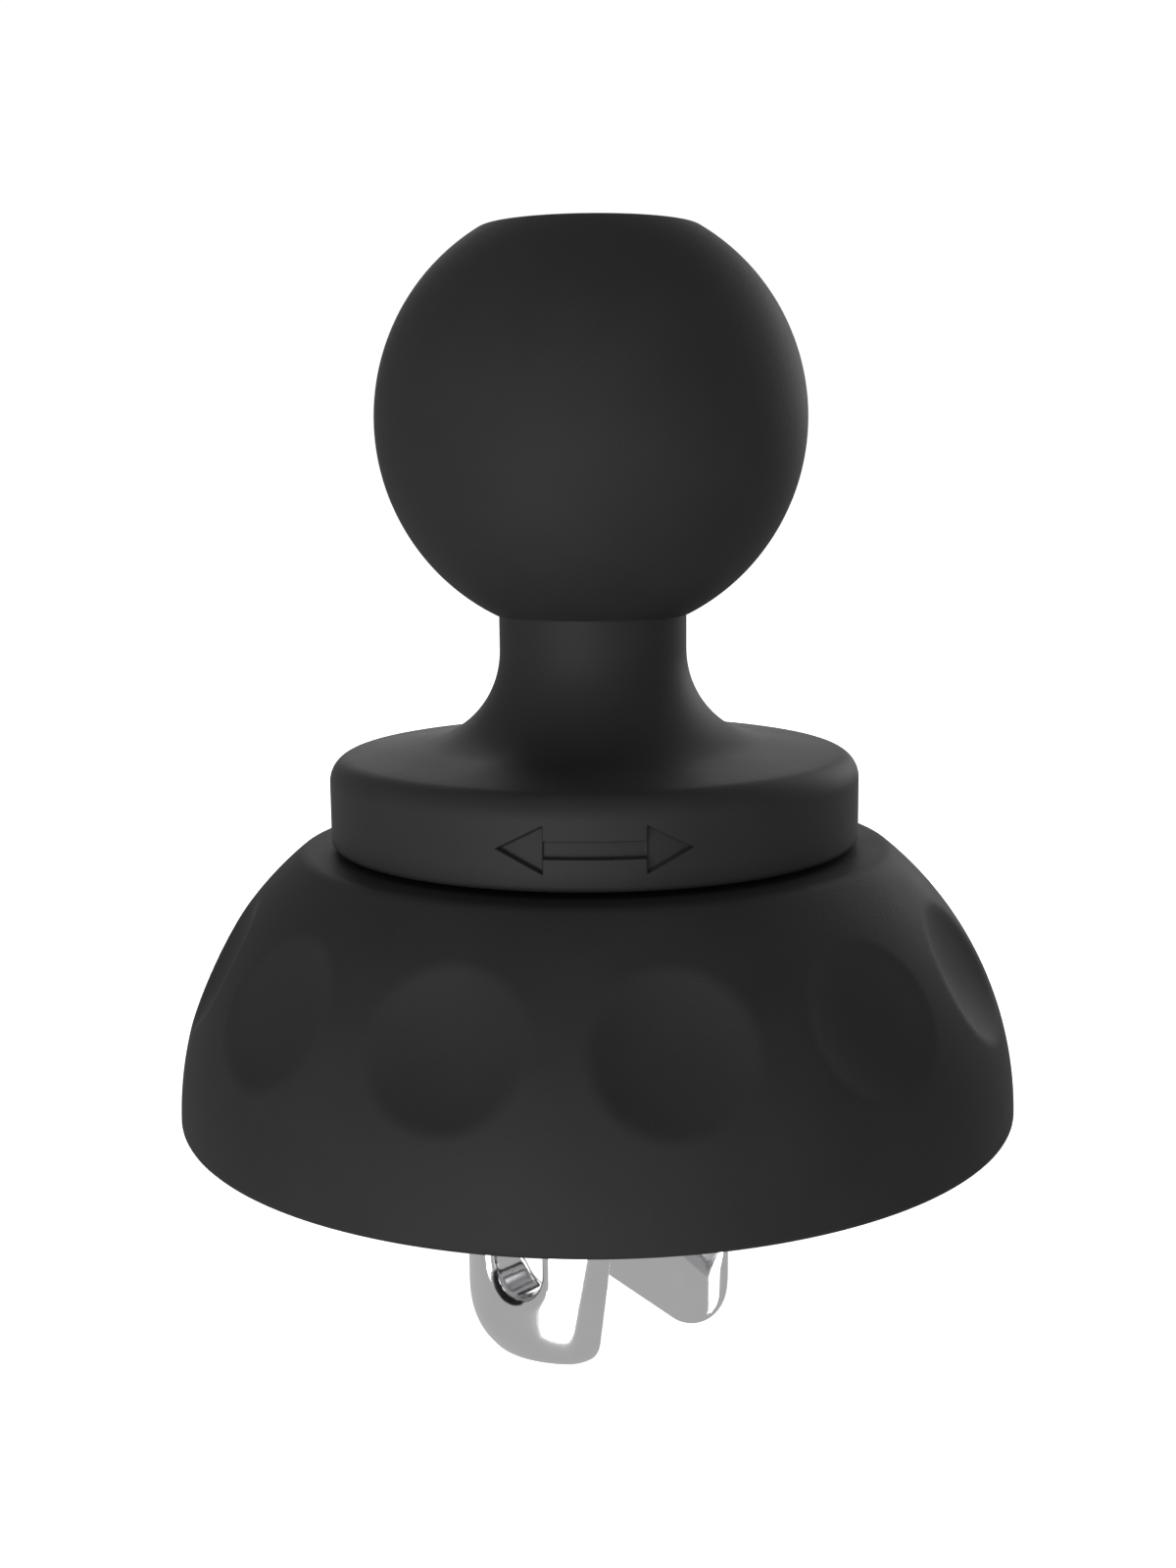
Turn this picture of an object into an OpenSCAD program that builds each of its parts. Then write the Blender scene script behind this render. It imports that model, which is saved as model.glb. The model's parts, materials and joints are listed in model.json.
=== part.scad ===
// Ball post with a twist-lock hook head and a hand knob that clamps it to a recessed crossbar.
// Millimetres. The origin is the middle of the foot pad's face, which rests on the deck, and +Z is up.

/* [Ball post] */
// Diameter of the rubber ball
ball_d = 25.4; // [20:0.1:40]
// Diameter of the flat on top of the ball
ball_flat_d = 12.6; // [0:0.1:16]
// Thickness of the rubber skin on the ball
skin_t = 2; // [1:0.1:4]
// Diameter of the neck under the ball
neck_d = 11.2; // [9.5:0.1:14]
// Length of the straight neck between the ball and the flare
neck_len = 2; // [0.5:0.1:12]
// Radius of the flare that joins the neck to the collar
flare_r = 5.6; // [3:0.1:8]
// Diameter of the collar
collar_d = 31.8; // [28:0.1:42]
// Height of the collar's outer edge
collar_h = 5.3; // [4.5:0.1:10]
// Radius of the collar's top edge
collar_edge_r = 1.5; // [0.5:0.1:2.5]
// Slope of the collar's top face, in degrees
collar_slope = 8; // [0:1:15]
// Length of the turn arrow sunk into the collar's front
arrow_len = 10.4; // [6:0.1:16]
// Depth of the turn arrow
arrow_depth = 0.35; // [0.2:0.05:0.8]

/* [Stud and nut] */
// Outside diameter of the threaded stud
stud_d = 8; // [6:0.1:10]
// Diameter of the plain spine that runs up the neck into the ball
spine_d = 6; // [4:0.1:7]
// Width across the flats of the nut in the collar
nut_af = 13; // [12:0.1:16]
// Height of the nut in the collar
nut_h = 4; // [3:0.1:5]
// Thickness of the lock washer on the nut
lock_washer_t = 1; // [0.5:0.1:1.5]
// Thickness of the plate that closes the collar
plate_t = 1.5; // [1:0.1:2]
// Outside diameter of the screws in that plate
plate_screw_d = 2.5; // [2:0.1:3]

/* [Knob] */
// Diameter of the knob at its rim
knob_d = 50.8; // [46:0.1:70]
// Height of the knob from its rim to its top
knob_h = 16; // [13:0.1:20]
// Radius of the dome's arc, whose centre is level with the rim
dome_r = 20.3; // [20.2:0.1:26]
// Thickness of the soft grip over the knob
grip_t = 2; // [1.5:0.1:3]
// Wall of the rigid shell under the grip
shell_t = 2; // [1.2:0.1:3]
// Number of finger dimples
dimple_count = 12; // [6:1:14]
// Diameter of a finger dimple
dimple_d = 8.8; // [5:0.1:10]
// Depth of a finger dimple
dimple_depth = 1.1; // [0.5:0.1:1.3]
// Height of the dimples' centres above the rim
dimple_h = 9.8; // [6:0.1:11]
// Angle of the first dimple from the front, in degrees
dimple_turn = 10; // [0:1:59]
// Number of ribs inside the shell
rib_count = 6; // [3:1:12]
// Thickness of a rib
rib_t = 1.6; // [1:0.1:3]
// Wall of the threaded insert around the stud
insert_wall = 2.2; // [1.8:0.1:4]
// Thickness of the insert's flange
flange_t = 1.5; // [1.2:0.1:2.5]
// Outside diameter of the screws in the insert's flange
insert_screw_d = 1.9; // [1.6:0.1:2.5]
// Thickness of the slip ring on top of the knob
slip_t = 1; // [0.8:0.1:1.5]

/* [Foot] */
// How far the foot's pad stands below the knob's rim
pad_proud = 0.8; // [0.4:0.1:2]
// Thickness of the rubber pad
pad_t = 2.5; // [1.5:0.1:4]
// Thickness of the foot's flange
foot_t = 2; // [1.5:0.1:3]
// Wall of the foot's sleeve around the knob's hub
sleeve_t = 1.8; // [1.2:0.1:3]
// Height of the sleeve above the hub's lower end
sleeve_h = 3.6; // [3:0.1:5]
// Diameter of the snap ring's wire
clip_wire_d = 1.2; // [0.8:0.1:1.5]
// Thickness of the thrust washer under the hub
thrust_t = 1; // [0.6:0.1:2]

/* [Hook head] */
// Outside diameter of the hook head
hook_d = 16.4; // [15:0.1:20]
// Gap between the two prongs
hook_gap = 9; // [8:0.1:9.6]
// Thickness of the bridge that joins the prongs
bridge_t = 5.5; // [4:0.1:8]
// How far the bridge's lower face is below the rim
bridge_drop = 4; // [3:0.1:6]
// Diameter of the crossbar that the seats take
bar_d = 4; // [3:0.1:4.4]
// How far the seats' centre is below the rim
seat_drop = 9; // [8.6:0.1:11]
// Height of the lip that keeps the crossbar in its seat, above the seat's bottom
lip_h = 2.4; // [1:0.1:2.8]
// How far the prongs reach below the rim
hook_drop = 16.1; // [14:0.1:20]
// Direction of the gap between the prongs, in degrees from +X
hook_turn = -46; // [-90:1:90]
// Angle from the middle of a prong to its seat, in degrees
seat_turn = 4.5; // [0:0.5:12]
// Diameter of the cross pin through the bridge and the stud
pin_d = 3; // [2:0.1:4]

/* [Travel and fits] */
// Travel of the knob and the foot down the stud
travel = 5; // [2:0.1:8]
// Radial clearance of a running fit
run_gap = 0.05; // [0.02:0.01:0.1]
// Gap between pieces that are pressed or moulded together
seat_gap = 0.02; // [0:0.01:0.05]
// Gap between pieces that move past each other
free_gap = 0.35; // [0.3:0.05:0.6]

/* [Hidden] */
$fn = 96;
eps = 0.01;                // overshoot of a cut past the face that it opens
far = 60;                  // longer than any cut needs to be

// Knob heights, from the rim up
rim_z = pad_proud;
knob_top = rim_z + knob_h;
dome_c = knob_d/2 - dome_r;                    // distance of the dome arc's centre from the axis
shell_top = knob_top - grip_t;
flange_z = knob_top - slip_t - flange_t;       // seat of the insert's flange
flange_top = flange_z + flange_t - seat_gap;
function dome_at(z, inset) = dome_c + sqrt(pow(dome_r - inset, 2) - pow(z - rim_z, 2));

// Hook head
hook_r = hook_d/2;
bridge_z = rim_z - bridge_drop;
bridge_top = bridge_z + bridge_t;
seat_z = rim_z - seat_drop;
bar_r = bar_d/2;
lip_z = seat_z - bar_r + lip_h;                // floor of the way in to the seats
roof_z = bridge_z - 0.3;                       // its roof
hook_z = rim_z - hook_drop;

// Tongue of a prong, in the prong's own plane: across the prong, and up
heel_r = 4.1;                                  // radius of the tongue's big end
toe_r = 1.75;                                  // radius of its small end, below the shank
shank_lean = 10;                               // how far the shank's edge leans, in degrees
tip_x = -6.2;                                  // end of the prong where the crossbar slips in
shank_x = 5.8;                                 // edge of the shank, level with the lip
heel = [-sqrt(pow(hook_r, 2) - pow(hook_gap/2, 2)) + heel_r, hook_z + heel_r];
toe = [shank_x - tan(shank_lean)*(lip_z - hook_z - toe_r - 1) - toe_r, hook_z + toe_r + 1.05];
nose_z = lip_z - 0.35;                         // centre of the ball shape that rounds the prongs' ends
nose_r = 9.14 + (hook_r - 8.2);
lead_in_z = 3.4;                               // depth of the lead-in bevel below the lip, at the tip
lead_in_rise = 21;                             // how steeply its edge climbs towards the seat, in degrees
lead_in_tilt = 22;                             // tilt of the bevel from upright, in degrees

// Insert, hub and sleeve, from the stud outwards
stud_r = stud_d/2;
insert_r = stud_r + insert_wall;
insert_head_r = insert_screw_d;                // a countersunk head is twice the screw's size across
insert_pcr = insert_r + insert_head_r + 0.2;
flange_r = insert_pcr + insert_head_r + 0.2;
hub_z = bridge_top + travel + free_gap;
hub_r = max(flange_r + 1.1, hook_r + 3.3);
sleeve_in = hub_r + run_gap;
sleeve_r = sleeve_in + sleeve_t;
foot_bore = hook_r + free_gap + 0.05;
foot_top = pad_t + foot_t;
foot_r = dome_at(foot_top, grip_t + shell_t) - 0.6;
thrust_z = hub_z - run_gap - thrust_t;
clip_z = hub_z + sleeve_h/2 + 0.1;
clip_r = hub_r + 0.2;                          // radius of the snap ring's centre line
clip_slot = clip_wire_d + 2*free_gap;          // height of the hub's groove for it
key_w = 3;                                     // width of the foot's two keys
key_in = hook_r - 1.4;                         // how far in they reach
key_z = -1;                                    // their lower ends

// Post, from the knob up
collar_r = collar_d/2;
collar_z = knob_top + free_gap;
collar_top = collar_z + collar_h;
plate_z = collar_z + 0.15;
pocket_z = plate_z + plate_t;
nut_z = pocket_z;
lock_z = nut_z + nut_h;
pocket_top = lock_z + lock_washer_t;
plate_r = collar_r - 1.8;
plate_head_r = plate_screw_d*0.9;
plate_pcr = plate_r - plate_head_r - 0.5;
neck_r = neck_d/2;
flare_c = neck_r + flare_r;                    // distance of the flare arc's centre from the axis
flare_foot = flare_c - flare_r*sin(collar_slope);
flare_foot_z = collar_top + (collar_r - collar_edge_r - flare_foot)*tan(collar_slope);
flare_z = flare_foot_z + flare_r*cos(collar_slope);
ball_r = ball_d/2;
ball_z = flare_z + neck_len + sqrt(pow(ball_r, 2) - pow(neck_r, 2));
flat_z = ball_z + sqrt(pow(ball_r, 2) - pow(ball_flat_d/2, 2));
core_r = ball_r - skin_t;
spine_top = ball_z + core_r/2;
stud_z = bridge_z + 0.3;

// A countersunk screw pointing down, with the top of its head at z = 0
module screw(d, head_r, len, gap = 0) {
    translate([0, 0, -len]) cylinder(r = d/2 + gap, h = len);
    translate([0, 0, -(head_r - d/2)]) cylinder(r1 = d/2 + gap, r2 = head_r + gap, h = head_r - d/2 + eps);
}

// Copies of a child, evenly spaced round the axis at radius r
module around(count, r, turn = 0) {
    for (i = [0:count - 1]) rotate([0, 0, turn + i*360/count]) translate([r, 0, 0]) children();
}

// A flat ring between two radii
module ring(r_in, r_out, z, h) {
    translate([0, 0, z]) difference() {
        cylinder(r = r_out, h = h);
        translate([0, 0, -eps]) cylinder(r = r_in, h = h + 2*eps);
    }
}

// Half section of the knob's dome, drawn in by inset from its outer face
module dome_section(inset) {
    intersection() {
        translate([0, rim_z]) square([knob_d, knob_h - inset]);
        union() {
            translate([dome_c, rim_z]) circle(r = dome_r - inset, $fn = 180);
            square([dome_c, knob_top]);
        }
    }
}

// Rubber skin moulded over the ball core, open at the neck
module ball_skin() {
    color([0.16, 0.16, 0.16]) difference() {
        translate([0, 0, ball_z]) sphere(r = ball_r);
        translate([-far/2, -far/2, flat_z]) cube([far, far, far]);
        translate([0, 0, ball_z]) sphere(r = core_r);
        translate([0, 0, ball_z - far]) cylinder(r = neck_r, h = far);
    }
}

// Half section of the collar, the flare and the neck
module post_section() {
    rise_z = ball_z;
    difference() {
        polygon([[0, collar_z], [collar_r, collar_z], [collar_r, collar_top - collar_edge_r],
                 [collar_r - collar_edge_r, collar_top], [flare_foot, flare_foot_z],
                 [flare_c, flare_z], [neck_r, flare_z], [neck_r, rise_z], [0, rise_z]]);
        translate([flare_c, flare_z]) circle(r = flare_r);
    }
    translate([collar_r - collar_edge_r, collar_top - collar_edge_r]) circle(r = collar_edge_r);
}

// Double-headed turn arrow, sunk evenly into the collar's round front
module turn_arrow() {
    half = arrow_len/2;
    head = 2.4;
    wing = 1.25;
    bar = 0.45;
    intersection() {
        translate([0, 0, collar_z + collar_h/2 - 0.35]) rotate([90, 0, 0])
            linear_extrude(height = collar_d) polygon([
                [-half, 0], [-half + head, -wing], [-half + head, -bar], [half - head, -bar],
                [half - head, -wing], [half, 0], [half - head, wing], [half - head, bar],
                [-half + head, bar], [-half + head, wing]]);
        ring(collar_r - arrow_depth, collar_r + 1, collar_z - 1, collar_h + 2);
    }
}

// Rigid core of the ball, with the neck and the collar
module post_core() {
    color([0.13, 0.13, 0.13]) difference() {
        union() {
            translate([0, 0, ball_z]) sphere(r = core_r - seat_gap);
            rotate_extrude() post_section();
        }
        turn_arrow();
        translate([0, 0, pocket_z - eps]) cylinder(d = (nut_af + 2*seat_gap)/cos(30), h = nut_h + eps, $fn = 6);
        translate([0, 0, lock_z - eps]) cylinder(d = nut_af + 2*seat_gap, h = lock_washer_t + eps);
        translate([0, 0, collar_z - eps]) cylinder(r = plate_r + seat_gap, h = plate_z + plate_t - collar_z + eps);
        translate([0, 0, pocket_top - eps]) cylinder(r = spine_d/2 + seat_gap, h = spine_top - pocket_top + eps);
        translate([0, 0, plate_z]) around(3, plate_pcr, 90) rotate([180, 0, 0])
            screw(plate_screw_d, plate_head_r, collar_h - 0.6, seat_gap);
    }
}

// Stainless stud: threaded from the hook head to the nut, plain up the neck
module stud() {
    color([0.75, 0.76, 0.77]) difference() {
        union() {
            translate([0, 0, stud_z]) cylinder(r = stud_r, h = pocket_top - stud_z);
            translate([0, 0, pocket_top - eps]) cylinder(d = spine_d, h = spine_top - pocket_top - free_gap);
        }
        pin_bore(pin_d/2 + seat_gap);
    }
}

module stud_nut() {
    color([0.72, 0.73, 0.74]) difference() {
        translate([0, 0, nut_z]) cylinder(d = nut_af/cos(30), h = nut_h - seat_gap, $fn = 6);
        translate([0, 0, nut_z - 1]) cylinder(r = stud_r + seat_gap, h = nut_h + 2);
    }
}

module lock_washer() {
    color([0.66, 0.67, 0.68]) ring(stud_r + seat_gap, nut_af/2, lock_z, lock_washer_t - seat_gap);
}

// Plate that holds the nut in the collar
module collar_plate() {
    color([0.70, 0.71, 0.72]) difference() {
        ring(stud_r + seat_gap, plate_r, plate_z, plate_t - seat_gap);
        translate([0, 0, plate_z]) around(3, plate_pcr, 90) rotate([180, 0, 0])
            screw(plate_screw_d, plate_head_r, collar_h, seat_gap);
    }
}

module plate_screws() {
    color([0.78, 0.79, 0.80]) translate([0, 0, plate_z]) around(3, plate_pcr, 90) rotate([180, 0, 0])
        intersection() {
            screw(plate_screw_d, plate_head_r, collar_h - 0.9);
            translate([0, 0, -far]) cylinder(r = plate_head_r, h = far);
        }
}

// Outline of one prong, across the prong and up, from the tongue to the bridge
module prong_outline() {
    apart = toe - heel;
    under = atan2(apart[1], apart[0]) - acos((heel_r - toe_r)/norm(apart));
    under_dir = [cos(under), sin(under)];
    side_dir = [cos(shank_lean), -sin(shank_lean)];
    top_x = (toe + toe_r*side_dir)[0] + tan(shank_lean)*(bridge_z + 1 - toe[1]);
    translate(heel) circle(r = heel_r);
    translate(toe) circle(r = toe_r);
    polygon([heel + heel_r*under_dir, toe + toe_r*under_dir, toe + toe_r*side_dir,
             [top_x, bridge_z + 1], [heel[0] - heel_r, bridge_z + 1], [heel[0] - heel_r, heel[1]]]);
}

// What is cut from the blank to leave one prong, on the -Y side of the gap
module prong_cuts() {
    rotate([90, 0, 0]) linear_extrude(height = far) difference() {
        translate([-far/2, bridge_z - far]) square([far, far]);
        prong_outline();
    }
    translate([tip_x - far, -far, bridge_z - far]) cube([far, far, far]);
    // way in for the crossbar, over the lip, from the prong's tip to the seat
    rotate([0, 0, seat_turn - 180]) rotate_extrude(angle = 90)
        translate([1, lip_z]) square([hook_r, roof_z - lip_z]);
    lead_in();
    seat();
}

// Bevel on the inner corner of a prong's tip, which leads the crossbar over the lip
module lead_in() {
    intersection() {
        translate([-far, -far, bridge_z - far]) cube([far, far, far]);
        translate([tip_x, -hook_gap/2, lip_z - lead_in_z]) rotate([0, -lead_in_rise, 0])
            rotate([lead_in_tilt, 0, 0]) translate([-far/2, 0, -far/2]) cube([far, far, far]);
    }
}

// Seat for the crossbar: a half-round trough, open upwards
module seat() {
    rotate([0, 0, seat_turn - 90]) translate([0, 0, seat_z]) {
        rotate([0, 90, 0]) cylinder(r = bar_r, h = far);
        translate([0, -bar_r, 0]) cube([far, 2*bar_r, (lip_z + roof_z)/2 - seat_z]);
    }
}

module pin_bore(r) {
    rotate([0, 0, hook_turn]) translate([0, far/2, (bridge_z + bridge_top)/2]) rotate([90, 0, 0])
        cylinder(r = r, h = far);
}

// Stainless hook head: a bridge on the stud and two prongs that hook under the crossbar
module hook_head() {
    color([0.80, 0.81, 0.82]) difference() {
        intersection() {
            translate([0, 0, hook_z - 1]) cylinder(r = hook_r, h = bridge_top - hook_z + 1);
            union() {
                translate([0, 0, nose_z]) sphere(r = nose_r);
                translate([0, 0, nose_z]) cylinder(r = hook_r + 1, h = far);
            }
        }
        rotate([0, 0, hook_turn])
            translate([-far/2, -hook_gap/2, bridge_z - far]) cube([far, hook_gap, far]);
        rotate([0, 0, hook_turn]) prong_cuts();
        rotate([0, 0, hook_turn + 180]) prong_cuts();
        translate([0, 0, bridge_z - 1]) cylinder(r = stud_r + seat_gap, h = bridge_t + 2);
        pin_bore(pin_d/2 + seat_gap);
        // keyways for the foot's two keys
        around(2, key_in - free_gap, hook_turn)
            translate([0, -key_w/2 - free_gap, bridge_z - 1]) cube([hook_r, key_w + 2*free_gap, bridge_t + 2]);
    }
}

module hook_pin() {
    color([0.62, 0.63, 0.64]) intersection() {
        pin_bore(pin_d/2);
        translate([0, 0, bridge_z]) cylinder(r = hook_r - 0.4, h = bridge_t);
    }
}

// Rigid shell of the knob, with the hub that holds the threaded insert
module knob_shell() {
    color([0.20, 0.20, 0.21]) difference() {
        union() {
            rotate_extrude() difference() {
                dome_section(grip_t);
                dome_section(grip_t + shell_t);
            }
            intersection() {
                union() {
                    translate([0, 0, hub_z]) cylinder(r = hub_r, h = shell_top - hub_z);
                    around(rib_count, sleeve_r + free_gap)
                        translate([0, -rib_t/2, foot_top + free_gap]) cube([knob_d, rib_t, knob_h]);
                }
                rotate_extrude() dome_section(grip_t + shell_t/2);
            }
        }
        translate([0, 0, hub_z - 1]) cylinder(r = insert_r + seat_gap, h = knob_h);
        translate([0, 0, flange_z]) cylinder(r = flange_r + seat_gap, h = knob_h);
        translate([0, 0, clip_z - clip_slot/2])
            ring(clip_r - clip_wire_d/2 - free_gap, hub_r + 1, 0, clip_slot);
        translate([0, 0, flange_top]) around(3, insert_pcr, 30)
            screw(insert_screw_d, insert_head_r, flange_top - hub_z - 0.8, seat_gap);
    }
}

// Soft grip moulded over the shell, with a row of finger dimples
module knob_grip() {
    rise = asin(dimple_h/dome_r);
    ball = (pow(dimple_d/2, 2) + pow(dimple_depth, 2))/(2*dimple_depth);
    reach = dome_r + ball - dimple_depth;
    color([0.15, 0.15, 0.15]) difference() {
        rotate_extrude($fn = 180) difference() {
            dome_section(0);
            dome_section(grip_t);
            square([flange_r + seat_gap, far]);
        }
        around(dimple_count, dome_c, dimple_turn - 90)
            translate([reach*cos(rise), 0, rim_z + reach*sin(rise)]) sphere(r = ball);
    }
}

// Brass insert whose thread runs on the stud
module thread_insert() {
    color([0.78, 0.62, 0.30]) difference() {
        union() {
            translate([0, 0, hub_z + 0.2]) cylinder(r = insert_r, h = flange_z - hub_z);
            translate([0, 0, flange_z]) cylinder(r = flange_r, h = flange_top - flange_z);
        }
        translate([0, 0, hub_z - 1]) cylinder(r = stud_r + run_gap, h = knob_h);
        translate([0, 0, flange_top]) around(3, insert_pcr, 30)
            screw(insert_screw_d, insert_head_r, knob_h, seat_gap);
    }
}

module insert_screws() {
    color([0.76, 0.77, 0.78]) translate([0, 0, flange_top]) around(3, insert_pcr, 30)
        intersection() {
            screw(insert_screw_d, insert_head_r, flange_top - hub_z - 1.1);
            translate([0, 0, -far]) cylinder(r = insert_head_r, h = far);
        }
}

// Slippery ring that bears on the collar when the knob is right up
module slip_ring() {
    color([0.32, 0.32, 0.33])
        ring(stud_r + run_gap + slip_t + 2*seat_gap, flange_r - seat_gap, knob_top - slip_t, slip_t);
}

// Seal round the stud, inside the slip ring
module stud_seal() {
    color([0.10, 0.10, 0.10]) rotate_extrude()
        translate([stud_r + run_gap + slip_t/2, knob_top - slip_t/2]) circle(r = slip_t/2, $fn = 32);
}

// Foot: a flange for the pad, a sleeve that turns on the knob's hub, and two keys for the hook head
module foot_ring() {
    color([0.22, 0.22, 0.23]) difference() {
        union() {
            ring(foot_bore, foot_r, pad_t, foot_t);
            ring(foot_bore, sleeve_r, pad_t, hub_z + sleeve_h - pad_t);
            around(2, key_in, hook_turn)
                translate([0, -key_w/2, key_z]) cube([foot_bore - key_in + 1, key_w, foot_top - key_z]);
        }
        translate([0, 0, thrust_z]) cylinder(r = sleeve_in, h = far);
        rotate_extrude() translate([clip_r, clip_z]) circle(r = clip_wire_d/2 + seat_gap, $fn = 32);
    }
}

module foot_pad() {
    chamfer = 0.6;
    color([0.12, 0.12, 0.12]) rotate_extrude() polygon([
        [foot_bore + 2, 0], [foot_r - chamfer, 0], [foot_r, chamfer], [foot_r, pad_t - seat_gap],
        [foot_bore + 2, pad_t - seat_gap]]);
}

// Washer that the hub turns on
module thrust_washer() {
    color([0.74, 0.75, 0.76]) ring(foot_bore + 0.1, sleeve_in - 0.1, thrust_z, thrust_t);
}

// Wire snap ring that keeps the foot on the hub, with a gap to spring it in
module foot_clip() {
    gap_turn = 24;
    color([0.70, 0.71, 0.72]) rotate([0, 0, gap_turn/2 - 90]) rotate_extrude(angle = 360 - gap_turn)
        translate([clip_r, clip_z]) circle(r = clip_wire_d/2, $fn = 32);
}

ball_skin();
post_core();
stud();
stud_nut();
lock_washer();
collar_plate();
plate_screws();
hook_head();
hook_pin();
knob_shell();
knob_grip();
thread_insert();
insert_screws();
slip_ring();
stud_seal();
foot_ring();
foot_pad();
thrust_washer();
foot_clip();
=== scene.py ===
import json
import math

import bpy
import numpy as np
from mathutils import Matrix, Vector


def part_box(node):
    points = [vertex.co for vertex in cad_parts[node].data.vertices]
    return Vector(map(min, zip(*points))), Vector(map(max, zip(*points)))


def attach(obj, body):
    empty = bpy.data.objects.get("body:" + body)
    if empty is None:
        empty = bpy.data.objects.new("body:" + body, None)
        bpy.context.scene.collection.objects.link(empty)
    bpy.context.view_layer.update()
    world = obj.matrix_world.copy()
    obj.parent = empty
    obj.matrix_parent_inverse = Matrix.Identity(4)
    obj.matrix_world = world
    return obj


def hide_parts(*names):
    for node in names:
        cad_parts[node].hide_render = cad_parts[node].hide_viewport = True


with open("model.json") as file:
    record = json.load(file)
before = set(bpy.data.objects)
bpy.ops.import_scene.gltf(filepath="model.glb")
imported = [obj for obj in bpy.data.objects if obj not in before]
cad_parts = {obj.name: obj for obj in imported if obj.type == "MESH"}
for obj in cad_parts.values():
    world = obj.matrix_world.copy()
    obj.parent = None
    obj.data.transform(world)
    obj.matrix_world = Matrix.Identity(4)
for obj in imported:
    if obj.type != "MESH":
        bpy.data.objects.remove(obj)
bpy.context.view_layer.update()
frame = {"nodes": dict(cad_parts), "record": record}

MM = 0.001
CLEAR = 0.02  # millimetres left between two surfaces that would share one place


def low_high(node):
    """A CAD node's lowest and highest corner, in millimetres."""
    low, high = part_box(node)
    return np.array(low) / MM, np.array(high) / MM


def high_corner(node):
    """A CAD node's highest corner, in millimetres."""
    return low_high(node)[1]


def placed(side, top, back, place):
    """Matrix of a camera or light at place, with its three axes as given."""
    matrix = Matrix.Identity(4)
    for row in range(3):
        matrix[row][0] = side[row]
        matrix[row][1] = top[row]
        matrix[row][2] = back[row]
        matrix[row][3] = place[row]
    return matrix


# ---------------------------------------------------------------- camera

CAMERA_AT = (0.0, -0.112482, 0.039647)
PITCH = math.radians(9.763)
ROLL = math.radians(-0.566)
YAW = math.radians(-0.195)
LENS = 43.138
SENSOR = 36.0
NEAREST = 0.005
FARTHEST = 50.0


def add_camera():
    """Camera level with the ball, looking slightly down at the front of the collar."""
    forward = np.array([math.sin(YAW) * math.cos(PITCH), math.cos(YAW) * math.cos(PITCH),
                        -math.sin(PITCH)])
    right = np.array([math.cos(YAW), -math.sin(YAW), 0.0])
    up = np.cross(right, forward)
    side = math.cos(ROLL) * right + math.sin(ROLL) * up
    top = -math.sin(ROLL) * right + math.cos(ROLL) * up
    data = bpy.data.cameras.new("camera")
    data.sensor_fit = "VERTICAL"
    data.sensor_height = SENSOR
    data.lens = LENS
    data.clip_start = NEAREST
    data.clip_end = FARTHEST
    camera = bpy.data.objects.new("camera", data)
    bpy.context.scene.collection.objects.link(camera)
    camera.matrix_world = placed(side, top, -forward, CAMERA_AT)
    bpy.context.scene.camera = camera


# ---------------------------------------------------------------- shader maths


class Value:
    """A node socket that carries a number; arithmetic on it adds Math nodes."""

    def __init__(self, maker, socket):
        self.maker = maker
        self.socket = socket

    def math(self, operation, *others):
        """A Math node with this value as its first input and the others after it."""
        sockets = dict(enumerate((self, *others)))
        return self.maker.node("ShaderNodeMath", {"operation": operation}, sockets).out()

    def __add__(self, other):
        return self.math("ADD", other)

    def __sub__(self, other):
        return self.math("SUBTRACT", other)

    def __mul__(self, other):
        return self.math("MULTIPLY", other)

    def __rsub__(self, other):
        return (self * -1.0) + other

    __radd__ = __add__
    __rmul__ = __mul__

    def clamp(self):
        """The value held between 0 and 1."""
        return self.math("MAXIMUM", 0.0).math("MINIMUM", 1.0)


class Made:
    """A node that has just been made, with its outputs at hand."""

    def __init__(self, maker, node):
        self.maker = maker
        self.node = node

    def out(self, name=0):
        """An output socket, by its name or its place in the list."""
        return Value(self.maker, self.node.outputs[name])


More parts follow.
